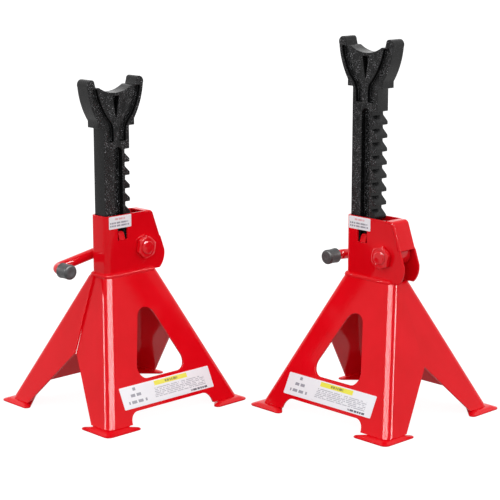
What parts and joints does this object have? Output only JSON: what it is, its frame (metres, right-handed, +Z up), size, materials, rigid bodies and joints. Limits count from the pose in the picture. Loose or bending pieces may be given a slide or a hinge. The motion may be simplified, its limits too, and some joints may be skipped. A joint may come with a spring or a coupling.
{
  "type": "pair of ratchet axle stands",
  "caption": "Pair of ratchet axle stands: four-legged pressed steel bases, toothed cast posts with a cradle saddle that slide up and down, and a bent locking handle on each.",
  "frame": {"origin": "middle of the pair's footprint, on the floor", "axes": "+Z up; +X is the way the left stand's teeth face; the right stand's teeth face -Y"},
  "size_m": [0.4044, 0.4366, 0.4348],
  "materials": {
    "frame_paint": "glossy red powder coat on pressed steel",
    "lever_paint": "glossy red paint on forged steel",
    "post_casting": "black hammered paint on a rough casting",
    "grip_rubber": "matt black moulded rubber",
    "label_vinyl": "white printed sticker"
  },
  "bodies": {
    "left_frame": {"left_base_shell_far": "frame_paint", "left_base_shell_near": "frame_paint", "left_column": "frame_paint", "left_column_label": "label_vinyl", "left_column_weld": "frame_paint", "left_face_label": "label_vinyl", "left_foot_back_far": "frame_paint", "left_foot_back_near": "frame_paint", "left_foot_front_far": "frame_paint", "left_foot_front_near": "frame_paint", "left_front_bridge": "frame_paint"},
    "left_post": {"left_ratchet_post": "post_casting"},
    "left_lever": {"left_handle_grip": "grip_rubber", "left_handle_rod": "lever_paint", "left_pawl": "lever_paint", "left_pawl_pin": "lever_paint", "left_pivot_nut": "lever_paint", "left_pivot_shaft": "lever_paint", "left_pivot_spacer": "lever_paint"},
    "right_frame": {"right_base_shell_far": "frame_paint", "right_base_shell_near": "frame_paint", "right_column": "frame_paint", "right_column_label": "label_vinyl", "right_column_weld": "frame_paint", "right_face_label": "label_vinyl", "right_foot_back_far": "frame_paint", "right_foot_back_near": "frame_paint", "right_foot_front_far": "frame_paint", "right_foot_front_near": "frame_paint", "right_front_bridge": "frame_paint"},
    "right_post": {"right_ratchet_post": "post_casting"},
    "right_lever": {"right_handle_grip": "grip_rubber", "right_handle_rod": "lever_paint", "right_pawl": "lever_paint", "right_pawl_pin": "lever_paint", "right_pivot_nut": "lever_paint", "right_pivot_shaft": "lever_paint", "right_pivot_spacer": "lever_paint"}
  },
  "joints": [
    {"name": "left_post_slide", "type": "slide", "parent": "left_frame", "child": "left_post", "axis": [0, 0, 1], "range_m": [-0.093, 0.0465]},
    {"name": "left_lever_turn", "type": "hinge", "parent": "left_frame", "child": "left_lever", "pos_m": [-0.0717, 0.1166, 0.187], "axis": [0, 1, 0], "range_deg": [-13, 40]},
    {"name": "right_post_slide", "type": "slide", "parent": "right_frame", "child": "right_post", "axis": [0, 0, 1], "range_m": [-0.1395, 0]},
    {"name": "right_lever_turn", "type": "hinge", "parent": "right_frame", "child": "right_lever", "pos_m": [0.1005, -0.1325, 0.187], "axis": [1, 0, 0], "range_deg": [-13, 40]},
    {"name": "stand_spacing", "type": "slide", "parent": "left_frame", "child": "right_frame", "axis": [1, 0, 0], "range_m": [0, 0.2]}
  ]
}
